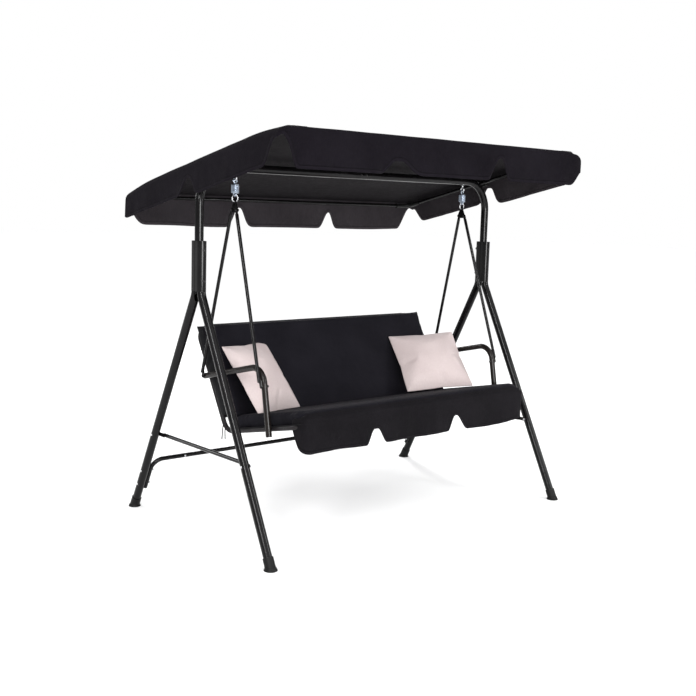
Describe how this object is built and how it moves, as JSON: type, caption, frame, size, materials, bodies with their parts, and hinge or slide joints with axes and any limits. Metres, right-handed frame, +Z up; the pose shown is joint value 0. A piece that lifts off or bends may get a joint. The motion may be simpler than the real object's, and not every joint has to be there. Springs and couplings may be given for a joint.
{
  "type": "porch swing",
  "caption": "Free-standing porch swing: cushioned bench with back and armrests, hung by springs and rods from a tube A-frame, with a tilting scalloped fabric canopy.",
  "frame": {"origin": "on the floor, midway between the four feet", "axes": "+X along the bench towards the right-hand end seen from the front, +Y to the back, +Z up"},
  "size_m": [1.69, 1.0894, 1.6093],
  "materials": {
    "tube_black": "gloss black powder coat",
    "frame_grey": "satin dark grey-brown",
    "foot_rubber": "matte black moulded caps",
    "moulding": "matte black moulding",
    "bolt_zinc": "zinc plated",
    "spring_steel": "bluish zinc plated wire",
    "canopy_fabric": "woven polyester, black with a warm tone",
    "cushion_fabric": "woven polyester over padding",
    "sling_fabric": "plain woven sling",
    "pillow_fabric": "soft cream woven cover"
  },
  "bodies": {
    "stand": {"leg_front_left": "tube_black", "leg_front_right": "tube_black", "leg_rear_left": "tube_black", "leg_rear_right": "tube_black", "foot_front_left": "foot_rubber", "foot_front_right": "foot_rubber", "foot_rear_left": "foot_rubber", "foot_rear_right": "foot_rubber", "side_brace_left": "tube_black", "side_brace_right": "tube_black", "crossbar_end_left": "tube_black", "crossbar_end_right": "tube_black", "crossbar_middle": "tube_black", "top_beam_left": "tube_black", "top_beam_right": "tube_black", "beam_sleeve": "tube_black", "stand_bolts": "bolt_zinc", "brace_bolts": "bolt_zinc", "eye_bolts": "bolt_zinc", "canopy_bracket_left": "tube_black", "canopy_bracket_right": "tube_black", "canopy_pivot_bolts": "bolt_zinc", "canopy_spacers": "moulding", "canopy_knobs": "moulding"},
    "canopy": {"canopy_rail_front": "tube_black", "canopy_rail_rear": "tube_black", "canopy_rail_left": "tube_black", "canopy_rail_right": "tube_black", "canopy_elbows": "moulding", "canopy_cover": "canopy_fabric"},
    "springs": {"spring_left": "spring_steel", "spring_right": "spring_steel"},
    "links": {"hanger_rings": "bolt_zinc"},
    "bench": {"hanger_plate_left": "tube_black", "hanger_plate_right": "tube_black", "hanger_rod_front_left": "tube_black", "hanger_rod_front_right": "tube_black", "hanger_rod_rear_left": "tube_black", "hanger_rod_rear_right": "tube_black", "bench_bolts": "bolt_zinc", "side_frame_left": "frame_grey", "side_frame_right": "frame_grey", "armrest_left": "tube_black", "armrest_right": "tube_black", "seat_front_hoop": "frame_grey", "back_top_hoop": "frame_grey", "seat_rear_bar": "frame_grey", "back_lower_bar": "frame_grey", "seat_sling": "sling_fabric", "back_sling": "sling_fabric", "seat_cushion": "cushion_fabric", "back_cushion": "cushion_fabric", "front_skirt": "cushion_fabric", "tie_knots": "cushion_fabric", "tie_tail_left_a": "cushion_fabric", "tie_tail_left_b": "cushion_fabric", "tie_tail_right_a": "cushion_fabric", "tie_tail_right_b": "cushion_fabric"},
    "pillow_left": {"pillow_left": "pillow_fabric"},
    "pillow_right": {"pillow_right": "pillow_fabric"}
  },
  "joints": [
    {"name": "canopy_tilt", "type": "hinge", "parent": "stand", "child": "canopy", "pos_m": [0, 0.018, 1.4635], "axis": [1, 0, 0], "range_deg": [-3, 24]},
    {"name": "swing", "type": "hinge", "parent": "stand", "child": "springs", "pos_m": [0, 0, 1.4252], "axis": [1, 0, 0], "range_deg": [-25, 25]},
    {"name": "spring_stretch", "type": "slide", "parent": "springs", "child": "links", "axis": [0, 0, -1], "range_m": [0, 0.03], "stiffness_N_per_m": 60000, "springref_m": -0.0047, "deforming": ["spring_left", "spring_right"]},
    {"name": "seat_pivot", "type": "hinge", "parent": "links", "child": "bench", "pos_m": [0, 0, 1.336], "axis": [1, 0, 0], "range_deg": [-10, 10]},
    {"name": "pillow_left_lift", "type": "slide", "parent": "bench", "child": "pillow_left", "axis": [0, -0.5, 0.866], "range_m": [0, 0.25]},
    {"name": "pillow_right_lift", "type": "slide", "parent": "bench", "child": "pillow_right", "axis": [0, -0.5, 0.866], "range_m": [0, 0.25]}
  ]
}
